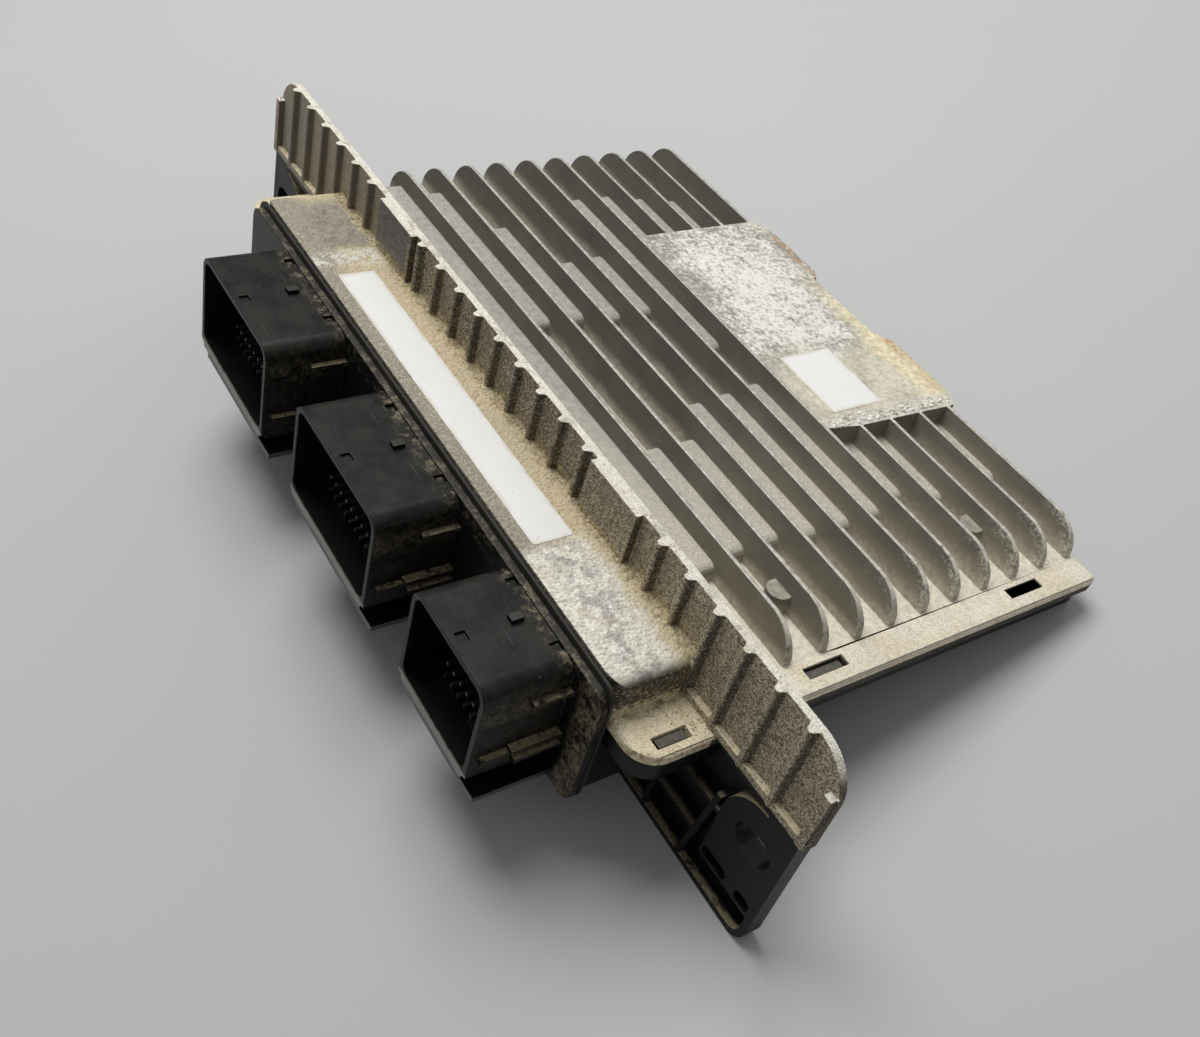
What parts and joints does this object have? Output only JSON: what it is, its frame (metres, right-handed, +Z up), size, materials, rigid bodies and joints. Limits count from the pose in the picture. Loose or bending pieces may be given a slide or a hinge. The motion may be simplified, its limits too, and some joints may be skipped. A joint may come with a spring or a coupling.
{
  "type": "engine control unit",
  "caption": "Engine control unit with a finned die-cast housing, an upright ribbed wall, a moulded base with a slotted lower flange, and a header with open plug sockets.",
  "frame": {"origin": "midway between the two oblong mounting holes, on the front face of the lower flange", "axes": "+X along the wall towards the end with the snap slots, +Y from the sockets to the rear edge, +Z up from the base to the fins"},
  "size_m": [0.326, 0.2136, 0.079],
  "materials": {
    "cast_housing": "weathered cast, dusty",
    "black_moulding": "matt, dusty edges",
    "socket_moulding": "satin",
    "seal": "matt",
    "label": "matt",
    "board": "satin",
    "contact": "plated",
    "chip": "matt",
    "pad": "soft",
    "can": "satin",
    "core": "matt",
    "ceramic": "matt",
    "screw": "zinc plated",
    "membrane": "matt"
  },
  "bodies": {
    "root": {"heatsink_housing": "cast_housing", "base_tray": "black_moulding", "connector_header": "socket_moulding", "header_seal": "seal", "base_seal": "seal", "front_label": "label", "rear_label": "label", "circuit_board": "board", "far_socket_pins": "contact", "mid_socket_pins": "contact", "near_socket_pins": "contact", "power_blades": "contact", "microcontroller": "chip", "memory_chip": "chip", "supply_chip": "chip", "driver_chips": "chip", "power_transistors": "chip", "thermal_pads": "pad", "buffer_capacitors": "can", "supply_inductors": "core", "clock_crystal": "can", "shunt_resistors": "chip", "ceramic_capacitors": "ceramic", "clamp_diodes": "chip", "pressure_sensor": "chip", "board_screws": "screw", "vent_membrane": "membrane"}
  },
  "joints": []
}
